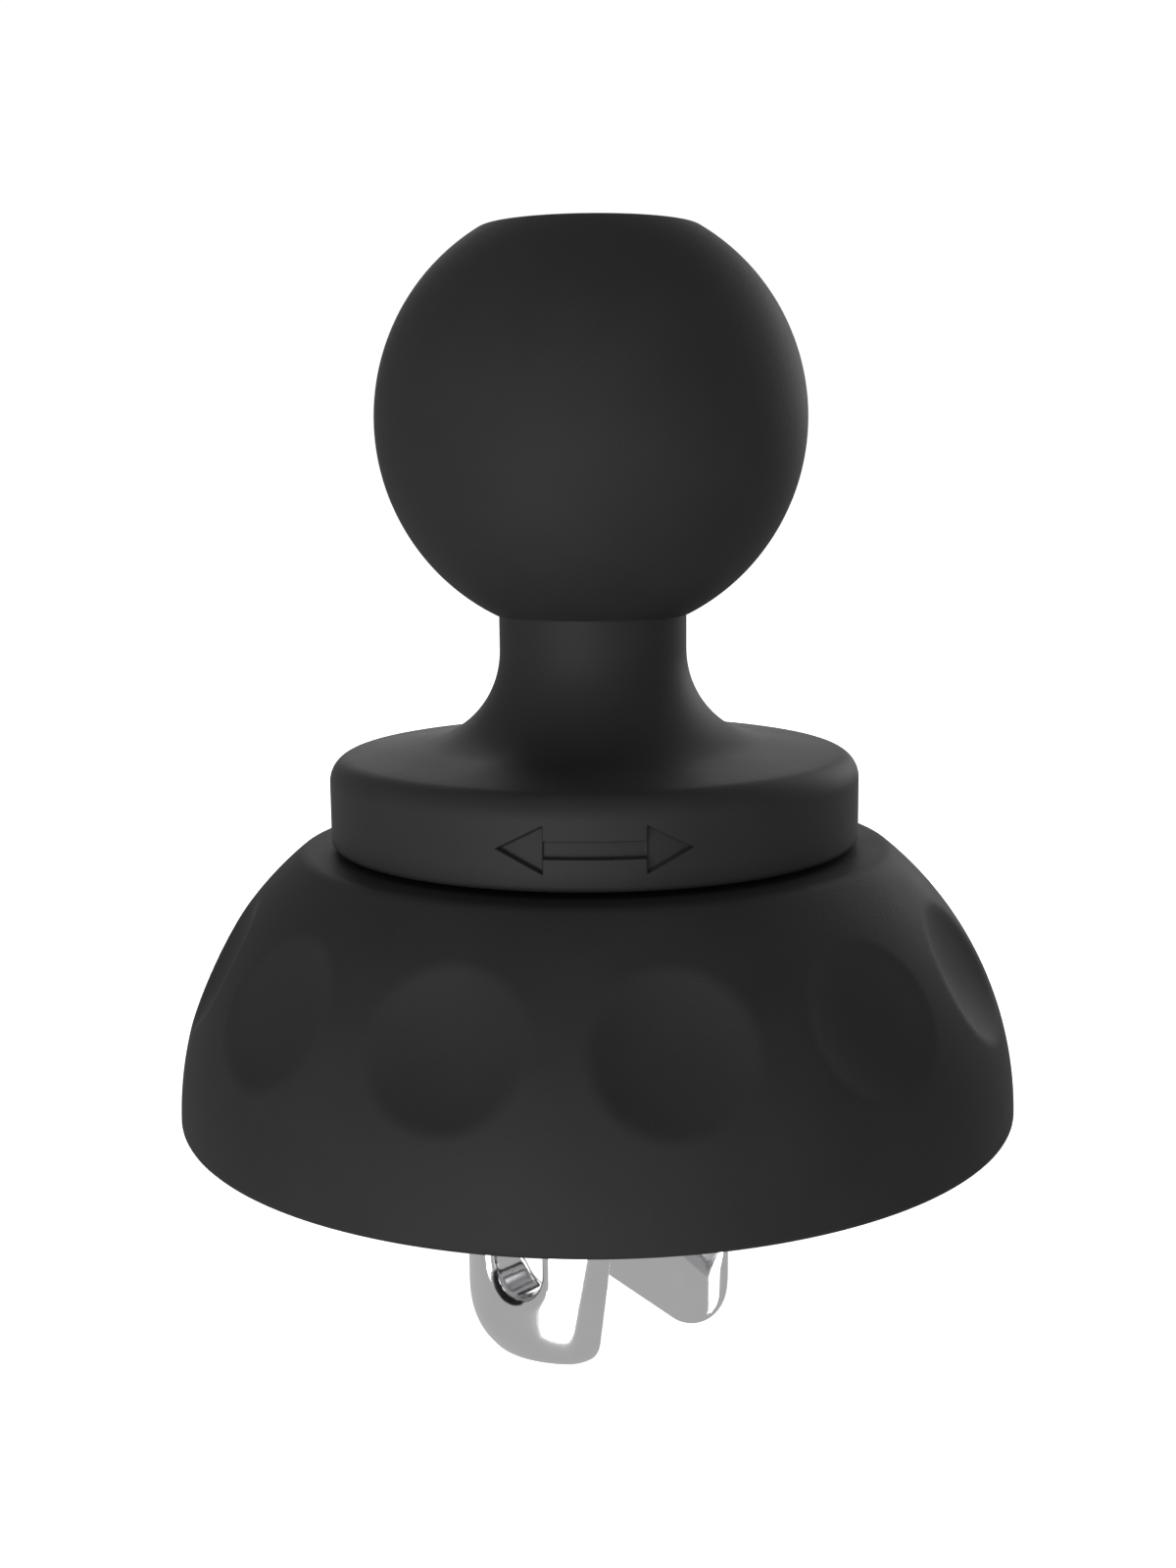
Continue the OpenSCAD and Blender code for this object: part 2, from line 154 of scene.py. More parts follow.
class Material:
    """A node-based material on one Principled shader; coordinates are millimetres on the piece."""

    # places of the Mix node's colour sockets, which share their names with its other sockets
    COLOUR_A = 6
    COLOUR_B = 7
    COLOUR_OUT = 2

    def __init__(self, name, **constants):
        self.data = bpy.data.materials.new(name)
        self.data.use_nodes = True
        self.tree = self.data.node_tree
        self.tree.nodes.clear()
        output = self.tree.nodes.new("ShaderNodeOutputMaterial")
        self.shader = self.tree.nodes.new("ShaderNodeBsdfPrincipled")
        self.tree.links.new(self.shader.outputs[0], output.inputs["Surface"])
        for socket, value in constants.items():
            self.set(socket.replace("_", " "), value)
        place = self.tree.nodes.new("ShaderNodeTexCoord")
        scaled = self.node("ShaderNodeVectorMath", {"operation": "SCALE"},
                           {0: Value(self, place.outputs["Object"]), "Scale": 1.0 / MM})
        self.place = scaled.out()

    def node(self, kind, settings, sockets):
        """Any node: its type, its settings, and the values or links of its sockets."""
        made = self.tree.nodes.new(kind)
        for key, value in settings.items():
            setattr(made, key, value)
        for key, value in sockets.items():
            if isinstance(value, Value):
                self.tree.links.new(value.socket, made.inputs[key])
            else:
                made.inputs[key].default_value = value
        return Made(self, made)

    def set(self, socket, value):
        """Links a value to the shader's socket, or sets a constant on it."""
        if isinstance(value, Value):
            self.tree.links.new(value.socket, self.shader.inputs[socket])
        elif isinstance(value, tuple):
            self.shader.inputs[socket].default_value = (*value, 1.0)
        else:
            self.shader.inputs[socket].default_value = value

    def noise(self, size, detail, stretch=(1.0, 1.0, 1.0)):
        """Soft noise whose blobs are about size millimetres across."""
        place = self.node("ShaderNodeVectorMath", {"operation": "MULTIPLY"},
                          {0: self.place, 1: stretch}).out()
        made = self.node("ShaderNodeTexNoise", {"noise_dimensions": "3D"},
                         {"Vector": place, "Scale": 1.0 / size, "Detail": detail, "Roughness": 0.5})
        return made.out("Fac")

    def grains(self, size):
        """Cells about size millimetres across, as distance from their middles."""
        made = self.node("ShaderNodeTexVoronoi", {"feature": "F1"},
                         {"Vector": self.place, "Scale": 1.0 / size})
        return made.out("Distance")

    def blend(self, amount, first, second):
        """Colour that goes from first to second."""
        made = self.node("ShaderNodeMix", {"data_type": "RGBA"},
                         {0: amount, self.COLOUR_A: (*first, 1.0), self.COLOUR_B: (*second, 1.0)})
        return made.out(self.COLOUR_OUT)

    def bump(self, height, depth):
        """Relief of the given depth in millimetres."""
        made = self.node("ShaderNodeBump", {},
                         {"Height": height, "Strength": 1.0, "Distance": depth * MM})
        self.set("Normal", made.out("Normal"))


# the scene's finishes, by the name of their slot
MATERIALS = {}


def times(colour, factor):
    """A colour made lighter or darker."""
    return tuple(c * factor for c in colour)


def moulded(name, colour, roughness, grain, relief, specular, spread):
    """Matte moulded rubber or nylon: fine grain, faint flow mottling, and dulled patches. grain and
    relief are in millimetres; spread is how far the colour strays either way."""
    made = Material(name, Specular_IOR_Level=specular)
    flow = made.noise(size=6.0, detail=3.0)
    fine = made.grains(grain)
    speck = made.noise(size=grain * 0.6, detail=2.0)
    shade = ((flow - 0.5) * 1.2 + (speck - 0.5) * 0.5 + 0.5).clamp()
    made.set("Base Color", made.blend(shade, times(colour, 1 - spread), times(colour, 1 + spread)))
    made.set("Roughness", ((flow - 0.5) * 0.14 + (speck - 0.5) * 0.08 + roughness).clamp())
    made.bump(fine * 0.7 + speck * 0.3, relief)
    MATERIALS[name] = made.data


def polished(name, colour, roughness):
    """Polished stainless steel: buffing swirls, faint hairline scratches and a slight haze."""
    made = Material(name, Metallic=1.0)
    haze = made.noise(size=2.2, detail=3.0)
    hair = made.noise(size=0.16, detail=3.0, stretch=(1.0, 0.35, 3.0))
    cast = made.noise(size=0.9, detail=4.0)
    made.set("Base Color", made.blend(haze, times(colour, 0.94), colour))
    made.set("Roughness", ((haze - 0.5) * 0.08 + (hair - 0.5) * 0.06 + roughness).clamp())
    made.bump(hair * 0.4 + cast * 0.6, 0.004)
    MATERIALS[name] = made.data


def turned(name, colour, roughness, pitch):
    """Metal turned on a lathe: rings round the axis, with a soft stain here and there. The rings
    are a sine of distance from the axis plus height, one ring for each pitch in millimetres."""
    made = Material(name, Metallic=1.0)
    split = made.node("ShaderNodeSeparateXYZ", {}, {0: made.place})
    x, y, z = (split.out(i) for i in range(3))
    radius = (x * x + y * y).math("POWER", 0.5)
    rings = ((radius + z) * (2 * math.pi / pitch)).math("SINE") * 0.5 + 0.5
    stain = made.noise(size=3.0, detail=3.0)
    fine = made.noise(size=0.12, detail=2.0)
    shade = (stain * 0.7 + fine * 0.3).clamp()
    made.set("Base Color", made.blend(shade, times(colour, 0.82), colour))
    made.set("Roughness", ((stain - 0.5) * 0.16 + (fine - 0.5) * 0.1 + roughness).clamp())
    made.bump(rings * 0.6 + fine * 0.4, 0.006)
    MATERIALS[name] = made.data


moulded("ball_rubber", (0.0160, 0.0160, 0.0162),
        roughness=0.62, grain=0.16, relief=0.010, specular=0.07, spread=0.16)
moulded("post_nylon", (0.0160, 0.0160, 0.0162),
        roughness=0.55, grain=0.13, relief=0.008, specular=0.09, spread=0.16)
moulded("grip_rubber", (0.0162, 0.0162, 0.0164),
        roughness=0.60, grain=0.17, relief=0.010, specular=0.07, spread=0.16)
moulded("shell_nylon", (0.024, 0.024, 0.0245),
        roughness=0.55, grain=0.2, relief=0.012, specular=0.3, spread=0.2)
moulded("foot_nylon", (0.026, 0.026, 0.0265),
        roughness=0.52, grain=0.2, relief=0.012, specular=0.3, spread=0.2)
moulded("pad_rubber", (0.014, 0.014, 0.014),
        roughness=0.8, grain=0.25, relief=0.02, specular=0.2, spread=0.3)
moulded("seal_rubber", (0.010, 0.010, 0.010),
        roughness=0.4, grain=0.1, relief=0.003, specular=0.4, spread=0.2)
moulded("slip_nylon", (0.065, 0.065, 0.068),
        roughness=0.38, grain=0.12, relief=0.004, specular=0.4, spread=0.12)
polished("polished_steel", (0.74, 0.74, 0.75), roughness=0.14)
turned("stud_steel", (0.62, 0.62, 0.63), roughness=0.28, pitch=0.11)
turned("fastener_steel", (0.60, 0.60, 0.61), roughness=0.34, pitch=0.16)
turned("insert_brass", (0.72, 0.50, 0.20), roughness=0.3, pitch=0.14)


# ---------------------------------------------------------------- meshes


def add_piece(name, points, faces, body, slot, stands_for, sharp=None):
    """A mesh piece in millimetres, put on its body with the finish of its slot. Edges sharper than
    sharp degrees stay hard."""
    mesh = bpy.data.meshes.new(name)
    mesh.from_pydata((points * MM).tolist(), [], faces)
    mesh.validate()
    mesh.update()
    mesh.polygons.foreach_set("use_smooth", np.ones(len(mesh.polygons), bool))
    if sharp is not None:
        mesh.set_sharp_from_angle(angle=math.radians(sharp))
    piece = bpy.data.objects.new(name, mesh)
    bpy.context.scene.collection.objects.link(piece)
    mesh.materials.append(MATERIALS[slot])
    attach(piece, body)
    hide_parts(stands_for)


def turn_faces(rows, columns, closed):
    """Quads of a grid whose columns go round; the rows join up too where closed."""
    last = rows if closed else rows - 1
    row = np.arange(last)[:, None]
    column = np.arange(columns)[None, :]
    after = (column + 1) % columns
    below = (row + 1) % rows
    quads = np.stack([row * columns + column, row * columns + after,
                      below * columns + after, below * columns + column], -1)
    return quads.reshape(-1, 4)


def turned_piece(name, profile, azimuths, body, slot, stands_for, shape=None, sharp=35.0):
    """Profile of (r, z) turned round the axis: point (r cos a, r sin a, z) at azimuth a. A profile
    that starts on the axis ends on it too, and each end becomes one point with a fan; any other is
    a closed loop. shape moves the grid's points."""
    profile = np.asarray(profile, float)
    r, z = profile[:, :1], profile[:, 1:]
    grid = np.stack([r * np.cos(azimuths), r * np.sin(azimuths), z + 0 * azimuths], -1)
    if shape is not None:
        grid = shape(grid, azimuths)
    rows, columns = grid.shape[:2]
    if profile[0, 0] > 0:
        faces = turn_faces(rows, columns, True).tolist()
        add_piece(name, grid.reshape(-1, 3), faces, body, slot, stands_for, sharp)
        return
    inner = grid[1:-1].reshape(-1, 3)
    points = np.concatenate([inner, grid[0, :1], grid[-1, :1]])
    faces = turn_faces(rows - 2, columns, False).tolist()
    column = np.arange(columns)
    after = (column + 1) % columns
    first_pole = np.full(columns, len(inner))
    last_row = (rows - 3) * columns
    faces += np.stack([after, column, first_pole], -1).tolist()
    faces += np.stack([last_row + column, last_row + after, first_pole + 1], -1).tolist()
    add_piece(name, points, faces, body, slot, stands_for, sharp)


def arc(centre, radius, first, last, count):
    """Points on a circle's arc, by angle in degrees."""
    angle = np.radians(np.linspace(first, last, count))
    return np.stack([centre[0] + radius * np.cos(angle), centre[1] + radius * np.sin(angle)], -1)


def line(first, last, count):
    """Evenly spaced points on a straight line, without its last point."""
    step = np.linspace(0, 1, count, endpoint=False)[:, None]
    return np.asarray(first) + step * (np.asarray(last) - np.asarray(first))


def even(count):
    """Angles evenly spaced round a full turn."""
    return np.linspace(0, 2 * np.pi, count, endpoint=False)


def soft_max(a, b, k):
    """The larger of two fields, with the crease between them rounded over a width of k."""
    h = np.clip(0.5 + 0.5 * (a - b) / k, 0, 1)
    return b + (a - b) * h + k * h * (1 - h)


# ---------------------------------------------------------------- knob grip

GRIP_T = 2.0
DOME_R = 20.3
SHOULDER_R = 1.3
RIM_R = 0.35
HOLE_EDGE = 0.2
INNER_EDGE = 0.15
INNER_START = 1.0
DIMPLES = 12
DIMPLE_R = 4.4
DIMPLE_DEPTH = 1.1
DIMPLE_H = 9.8
DIMPLE_TURN = math.radians(-80.0)
DIMPLE_LIP = 0.2
DIMPLE_MARGIN = 1.5
ON_DOME = 0.05


def knob_grip():
    """Dome: an arc from the rim to a rounded shoulder, a flat top, and the inner face two
    millimetres in. Each dimple sinks the arc by a ball's cap with a softened lip."""
    low, high = low_high("knob_grip")
    rim, top = low[2], high[2]
    centre = (high[0] - DOME_R, rim)
    hole = high_corner("slip_ring")[0] + 2 * CLEAR
    # the shoulder's arc touches the dome's arc from inside and the flat top
    shoulder_z = top - SHOULDER_R
    shoulder_x = centre[0] + math.sqrt((DOME_R - SHOULDER_R) ** 2 - (shoulder_z - rim) ** 2)
    meet = math.degrees(math.atan2(shoulder_z - rim, shoulder_x - centre[0]))
    inner_r = DOME_R - GRIP_T
    inner_top = math.degrees(math.asin((top - GRIP_T - rim) / inner_r))
    edge_r = DOME_R - RIM_R
    edge_turn = math.asin(RIM_R / edge_r)
    edge_at = (centre[0] + edge_r * math.cos(edge_turn), rim + RIM_R)
    lip = math.degrees(edge_turn)
    inside = (centre[0] + inner_r + INNER_EDGE, rim)
    profile = np.concatenate([
        line((hole, top - GRIP_T), (hole, top - HOLE_EDGE), 2),
        line((hole, top - HOLE_EDGE), (hole + HOLE_EDGE, top), 2),
        line((hole + HOLE_EDGE, top), (shoulder_x, top), 8),
        arc((shoulder_x, shoulder_z), SHOULDER_R, 90, meet, 8)[:-1],
        arc(centre, DOME_R, meet, lip, 105)[:-1],
        arc(edge_at, RIM_R, lip, -90, 6)[:-1],
        line((centre[0] + edge_r, rim), inside, 3),
        [inside],
        arc(centre, inner_r + CLEAR, INNER_START, inner_top, 24),
    ])[::-1]
    ball_r = (DIMPLE_R ** 2 + DIMPLE_DEPTH ** 2) / (2 * DIMPLE_DEPTH)
    reach = centre[0] + DOME_R * math.cos(math.asin(DIMPLE_H / DOME_R))

    def sink(grid, azimuths):
        """Moves the dome in by max(sqrt(R^2 - d^2) - (R - DIMPLE_DEPTH), 0), with the crease rounded.
        R is ball_r, and d is the distance from the nearest dimple's middle on the dome."""
        pitch = 2 * np.pi / DIMPLES
        near = (azimuths - DIMPLE_TURN + pitch / 2) % pitch - pitch / 2
        radius = np.hypot(grid[..., 0], grid[..., 1])
        away2 = ((radius * np.cos(near) - reach) ** 2 + (radius * np.sin(near)) ** 2
                 + (grid[..., 2] - rim - DIMPLE_H) ** 2)
        cap = np.sqrt(np.maximum(ball_r ** 2 - away2, 0)) - (ball_r - DIMPLE_DEPTH)
        cap = np.where(away2 < (DIMPLE_R + DIMPLE_MARGIN) ** 2, cap, -1.0)
        depth = soft_max(cap, 0 * cap, DIMPLE_LIP)
        out_r = radius - centre[0]
        out_z = grid[..., 2] - rim
        size = np.hypot(out_r, out_z)
        depth = np.where(size > DOME_R - ON_DOME, depth, 0)
        shrink = depth / size
        grid[..., 0] -= np.cos(azimuths) * out_r * shrink
        grid[..., 1] -= np.sin(azimuths) * out_r * shrink
        grid[..., 2] -= out_z * shrink
        return grid

    turned_piece("knob_grip_dimpled", profile, even(540), "knob", "grip_rubber", "knob_grip", sink)


# ---------------------------------------------------------------- ball, post and stud

BALL_R = 12.7
SKIN_T = 2.0
FLAT_R = 6.3
FLAT_EDGE = 0.9
SKIN_LIP = 0.12
SKIN_END = 0.8
NECK_R = 5.6
FLARE_R = 5.6
COLLAR_H = 5.3
COLLAR_EDGE = 1.5
COLLAR_SLOPE = 8.0
COLLAR_FOOT = 0.3
WALL_START = 0.05
SPINE_R = 3.0
SPINE_ROOM = 0.35
NUT_ROOM = 0.1
# the turn arrow: half its length, then its head's length and half width, and half its bar's width
ARROW_HALF = 5.2
ARROW_HEAD = 2.4
ARROW_WING = 1.25
ARROW_BAR = 0.45
ARROW_SLANT = 0.88
ARROW_DROP = 0.35
ARROW_DEPTH = 0.35
ARROW_WALL = 0.09
ON_WALL = 0.01
FRONT = (-110, -70)


def ball_middle():
    """Height of the ball's centre, from the flat on its top."""
    return high_corner("ball_skin")[2] - math.sqrt(BALL_R ** 2 - FLAT_R ** 2)


def ball_skin():
    """Rubber skin: a sphere's arc from the softened flat to the neck, then the inner sphere."""
    middle = ball_middle()
    top = high_corner("ball_skin")[2]
    flat_z = top - FLAT_EDGE
    flat_x = math.sqrt((BALL_R - FLAT_EDGE) ** 2 - (flat_z - middle) ** 2)
    meet = math.degrees(math.atan2(flat_z - middle, flat_x))
    neck = NECK_R + 2 * CLEAR
    foot = -math.degrees(math.acos(neck / BALL_R))
    inner = -math.degrees(math.acos(neck / (BALL_R - SKIN_T)))
    profile = np.concatenate([
        line((0, top), (flat_x, top), 7),
        arc((flat_x, flat_z), FLAT_EDGE, 90, meet, 9)[:-1],
        arc((0, middle), BALL_R, meet, foot + SKIN_END, 120),
        [[neck, middle + BALL_R * math.sin(math.radians(foot)) + SKIN_LIP]],
        arc((0, middle), BALL_R - SKIN_T, inner, 90, 40),
    ])[::-1]
    profile[[0, -1], 0] = 0
    turned_piece("ball_skin_smooth", profile, even(224), "post", "ball_rubber", "ball_skin")


def post_core():
    """Collar, flare, neck and ball core as one turned profile with the nut's pocket inside; the
    turn arrow sinks the collar's front."""
    low, high = low_high("post_core")
    bottom, collar_r = low[2], high[0]
    top = bottom + COLLAR_H
    slope = math.radians(COLLAR_SLOPE)
    flare_x = NECK_R + FLARE_R
    foot_x = flare_x - FLARE_R * math.sin(slope)
    foot_z = top + (collar_r - COLLAR_EDGE - foot_x) * math.tan(slope)
    flare_z = foot_z + FLARE_R * math.cos(slope)
    middle = ball_middle()
    core = BALL_R - SKIN_T - CLEAR
    meet = -math.degrees(math.acos(NECK_R / core))
    neck_top = middle + core * math.sin(math.radians(meet))
    spine = SPINE_R + CLEAR
    spine_top = high_corner("stud")[2] + SPINE_ROOM
    pocket = (high_corner("stud_nut")[0] + NUT_ROOM, high_corner("lock_washer")[2] + CLEAR)
    plate = (high_corner("collar_plate")[0] + CLEAR, high_corner("collar_plate")[2] + CLEAR)
    foot = (collar_r - COLLAR_FOOT, bottom + COLLAR_FOOT)
    edge = (collar_r - COLLAR_EDGE, top - COLLAR_EDGE)
    profile = np.concatenate([
        line((0, spine_top), (spine, spine_top), 2),
        line((spine, spine_top), (spine, pocket[1]), 2),
        line((spine, pocket[1]), pocket, 2),
        line(pocket, (pocket[0], plate[1]), 2),
        line((pocket[0], plate[1]), plate, 2),
        line(plate, (plate[0], bottom), 2),
        line((plate[0], bottom), (foot[0], bottom), 3),
        arc(foot, COLLAR_FOOT, -90, 0, 5),
        line((collar_r, foot[1] + WALL_START), (collar_r, edge[1]), 62)[1:],
        arc(edge, COLLAR_EDGE, 0, 90 - COLLAR_SLOPE, 12),
        line((edge[0], top + CLEAR), (foot_x, foot_z), 12)[1:],
        arc((flare_x, flare_z), FLARE_R, -90 - COLLAR_SLOPE, -180, 28),
        line((NECK_R, flare_z), (NECK_R, neck_top), 8)[1:],
        arc((0, middle), core, meet, 90, 40),
    ])
    profile[[0, -1], 0] = 0
    # the columns are finer across the front, where the arrow is
    fine = np.radians(np.linspace(*FRONT, 220, endpoint=False))
    coarse = np.radians(np.linspace(FRONT[1], FRONT[0] + 360, 128, endpoint=False))

    def engrave(grid, azimuths):
        """Moves the collar's front in by ARROW_DEPTH clip(1/2 - d / ARROW_WALL, 0, 1). d is the
        distance outside the arrow, the smaller of its bar's and its heads'."""
        across = np.abs(grid[..., 0])
        up = np.abs(grid[..., 2] - (bottom + top) / 2 + ARROW_DROP)
        neck = ARROW_HALF - ARROW_HEAD
        bar = np.maximum(across - neck, up - ARROW_BAR)
        wing = (up - ARROW_WING * (ARROW_HALF - across) / ARROW_HEAD) * ARROW_SLANT
        outside = np.minimum(bar, np.maximum(wing, neck - across))
        radius = np.hypot(grid[..., 0], grid[..., 1])
        front = (radius > collar_r - ON_WALL) & (grid[..., 1] < 0)
        depth = ARROW_DEPTH * np.clip(0.5 - outside / ARROW_WALL, 0, 1) * front
        scale = 1 - depth / np.maximum(radius, 1e-9)
        grid[..., :2] *= scale[..., None]
        return grid

    turned_piece("post_core_smooth", profile, np.concatenate([fine, coarse]), "post", "post_nylon",
                 "post_core", engrave, 28.0)


THREAD_LEAD = 1.25
THREAD_DEPTH = 0.62
CREST = 0.86
ROOT = 0.14
STUD_CHAMFER = 0.6
STUD_END = 0.9
SPINE_STEP = 0.55
SPINE_EDGE = 0.3
ON_SPINE = 0.05


def stud():
    """Threaded stud with chamfered ends, and the plain spine above it."""
    low, high = low_high("stud")
    radius, foot, tip = high[0], low[2], high[2]
    end = high_corner("lock_washer")[2]
    thread = np.linspace(foot + STUD_CHAMFER, end - STUD_CHAMFER, 262)
    profile = np.concatenate([
        line((0, foot), (radius - STUD_END, foot), 4),
        line((radius - STUD_END, foot), (radius, foot + STUD_CHAMFER), 4),
        np.stack([np.full(len(thread), radius), thread], -1),
        line((radius, end - SPINE_STEP), (SPINE_R, end), 4)[1:],
        line((SPINE_R, end), (SPINE_R, tip - SPINE_EDGE), 4),
        [[SPINE_R, tip - SPINE_EDGE], [SPINE_R - SPINE_EDGE, tip], [0, tip]],
    ])

    def cut_thread(grid, azimuths):
        """Takes THREAD_DEPTH clip((CREST - w) / (CREST - ROOT), 0, 1) off the radius. w goes from 1
        at the crest to 0 at the root and back, once for each lead along a right-hand helix."""
        height = grid[..., 2]
        turn = (height / THREAD_LEAD - azimuths / (2 * np.pi)) % 1.0
        wave = np.abs(turn - 0.5) * 2
        depth = THREAD_DEPTH * np.clip((CREST - wave) / (CREST - ROOT), 0, 1)
        r = np.hypot(grid[..., 0], grid[..., 1])
        on = (r > SPINE_R + ON_SPINE) & (height < end)
        fade = np.clip((height - foot) / STUD_CHAMFER, 0, 1)
        fade = fade * np.clip((end - height) / STUD_CHAMFER, 0, 1)
        scale = np.maximum(r - depth * on * fade, 0) / np.maximum(r, 1e-9)
        grid[..., :2] *= scale[..., None]
        return grid

    turned_piece("stud_threaded", profile, even(96), "post", "stud_steel", "stud", cut_thread, 60.0)


# ---------------------------------------------------------------- foot pad

PAD_BORE = 10.6
PAD_MARGIN = 1.6
BORE_EDGE = 0.25
PAD_EDGE = 0.6
PAD_EDGE_MIDDLE = 0.2
GROOVE_W = 0.8
GROOVE_DEPTH = 0.55
GROOVE_GAP = 1.75
GROOVE_WALL = 0.12


def foot_pad():
    """Pad ring whose under face, at height 0, has ring-shaped grooves, so that it grips a wet deck."""
    high = high_corner("foot_pad")
    outer = high[0]
    count = int((outer - PAD_BORE - PAD_MARGIN) / GROOVE_GAP)
    start = PAD_BORE + (outer - PAD_BORE - (count - 1) * GROOVE_GAP) / 2
    half = GROOVE_W / 2
    profile = [(PAD_BORE, high[2]), (PAD_BORE, BORE_EDGE), (PAD_BORE + BORE_EDGE, 0.0)]
    for k in range(count):
        middle = start + k * GROOVE_GAP
        profile += [(middle - half, 0.0), (middle - half + GROOVE_WALL, GROOVE_DEPTH),
                    (middle + half - GROOVE_WALL, GROOVE_DEPTH), (middle + half, 0.0)]
    profile += [(outer - PAD_EDGE, 0.0), (outer - PAD_EDGE_MIDDLE, PAD_EDGE_MIDDLE),
                (outer, PAD_EDGE), (outer, high[2])]
    turned_piece("foot_pad_grooved", profile, even(160), "foot", "pad_rubber", "foot_pad")


# ---------------------------------------------------------------- hook head

HOOK_TURN = math.radians(-46.0)
HOOK_R = 8.2
GAP = 4.5
# heights, each down or up from the one that the code takes it from
RIM_DROP = 1.5
BRIDGE_T = 4.0
SEAT_DROP = 9.0
LIP_RISE = 2.4
ROOF_DROP = 0.3
NOSE_DROP = 0.35
SILL_RISE = 0.5
# blank and prong outline
NOSE_R = 9.5
HEEL_R = 4.1
TOE_R = 1.75
TOE_X = 5.8
TOE_RISE = 1.05
LEAN = math.radians(10.0)
TIP_X = -6.2
# the crossbar's way in, and the lead-in bevel
SEAT_TURN = math.radians(4.5)
BAR_R = 2.0
BEVEL_RISE = math.radians(21.0)
BEVEL_TILT = math.radians(22.0)
BEVEL_DROP = 3.4
# bore for the stud, keyways for the foot's keys, and the cross pin's hole
BORE_R = 4.02
KEYWAY_X = 6.45
KEYWAY_HALF = 1.85
PIN_R = 1.52
# radii of the rounded edges and corners
NOSE_BLEND = 0.8
TOP_EDGE = 0.3
FACE_END = 1.3
OUTLINE_EDGE = 0.8
FACE_EDGE = 0.35
BEVEL_EDGE = 0.25
OPENING_EDGE = 0.9
SEAT_CORNER = 0.5
BRIDGE_EDGE = 0.4
BRIDGE_CORNER = 0.3
KEYWAY_EDGE = 0.2
# surface net
NET_STEP = 0.16
NET_MARGIN = 0.5
SETTLE_ROUNDS = 4
PROBE = 0.02
LEAST_SLOPE2 = 0.25
LONGEST_SLIDE = 0.1


def round_and(a, b, r):
    """Where both fields are inside, with the outer edge between them rounded to radius r."""
    u = np.maximum(a + r, 0)
    v = np.maximum(b + r, 0)
    return np.minimum(-r, np.maximum(a, b)) + np.hypot(u, v)


def round_or(a, b, r):
    """Where either field is inside, with the inner corner between them filled to radius r."""
    return -round_and(-a, -b, r)


def prong_outline(x, z, bottom, lip, ceiling):
    """Field of a prong's outline, across and up: a heel circle and a toe circle, joined by a polygon
    that touches both and goes up to the ceiling."""
    heel = np.array([-math.sqrt(HOOK_R ** 2 - GAP ** 2) + HEEL_R, bottom + HEEL_R])
    toe = np.array([TOE_X - math.tan(LEAN) * (lip - bottom - TOE_R - 1) - TOE_R,
                    bottom + TOE_R + TOE_RISE])
    apart = toe - heel
    under = math.atan2(apart[1], apart[0]) - math.acos((HEEL_R - TOE_R) / math.hypot(*apart))
    down = np.array([math.cos(under), math.sin(under)])
    out = np.array([math.cos(LEAN), -math.sin(LEAN)])
    shoulder = (toe + TOE_R * out)[0] + math.tan(LEAN) * (ceiling - toe[1])
    points = [heel + HEEL_R * down, toe + TOE_R * down, toe + TOE_R * out,
              np.array([shoulder, ceiling]), np.array([heel[0] - HEEL_R, ceiling]),
              np.array([heel[0] - HEEL_R, heel[1]])]
    polygon = np.full(x.shape, -1e9)
    for first, last in zip(points, points[1:] + points[:1]):
        edge = (last - first) / math.hypot(*(last - first))
        polygon = np.maximum(polygon, (x - first[0]) * edge[1] - (z - first[1]) * edge[0])
    outline = np.minimum(polygon, np.hypot(x - heel[0], z - heel[1]) - HEEL_R)
    return np.minimum(outline, np.hypot(x - toe[0], z - toe[1]) - TOE_R)


def crossbar_opening(x, y, z, seat_z, lip, roof):
    """Field of the crossbar's way in, which comes in over the lip, and of the round-bottomed seat."""
    across = math.cos(SEAT_TURN) * x + math.sin(SEAT_TURN) * y
    way = np.maximum(np.maximum(across, lip + SILL_RISE - z), z - roof)
    box = np.maximum(np.maximum(np.abs(across) - BAR_R, seat_z - z), z - (lip + roof) / 2)
    seat = np.minimum(np.hypot(across, z - seat_z) - BAR_R, box)
    return round_or(way, seat, SEAT_CORNER)


